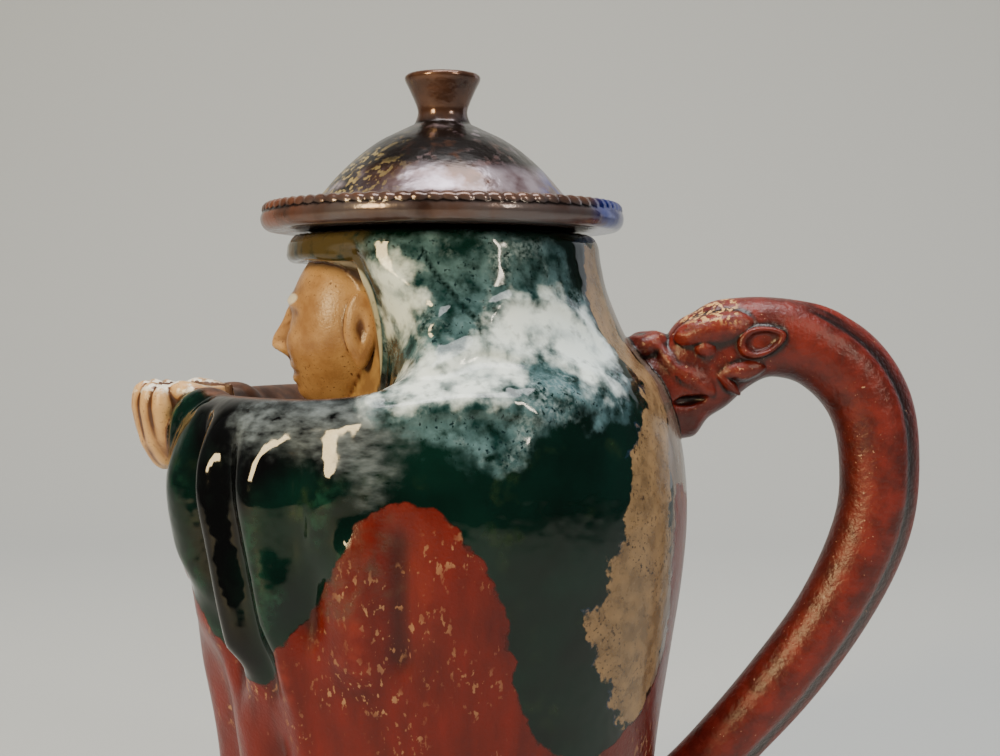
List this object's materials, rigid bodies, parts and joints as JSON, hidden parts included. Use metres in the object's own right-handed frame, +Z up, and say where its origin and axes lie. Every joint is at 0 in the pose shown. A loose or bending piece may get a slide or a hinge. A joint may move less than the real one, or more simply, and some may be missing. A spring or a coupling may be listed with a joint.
{
  "type": "lidded figural jug",
  "caption": "Tall glazed stoneware pouring jug shaped as a robed figure, with a trough spout, a dragon handle and a loose domed lid.",
  "frame": {"origin": "middle of the flat underside", "axes": "+Z up the jug, -X the way the figure faces and the spout pours, +X towards the handle"},
  "size_m": [0.1964, 0.122, 0.2209],
  "materials": {
    "poured_glaze": "glossy poured glazes, teal over black, over a semi-gloss brick red",
    "bronze_glaze": "lustrous bronze-brown glaze with a lilac sheen"
  },
  "bodies": {
    "root": {"jug": "poured_glaze", "lid": "bronze_glaze"}
  },
  "joints": []
}
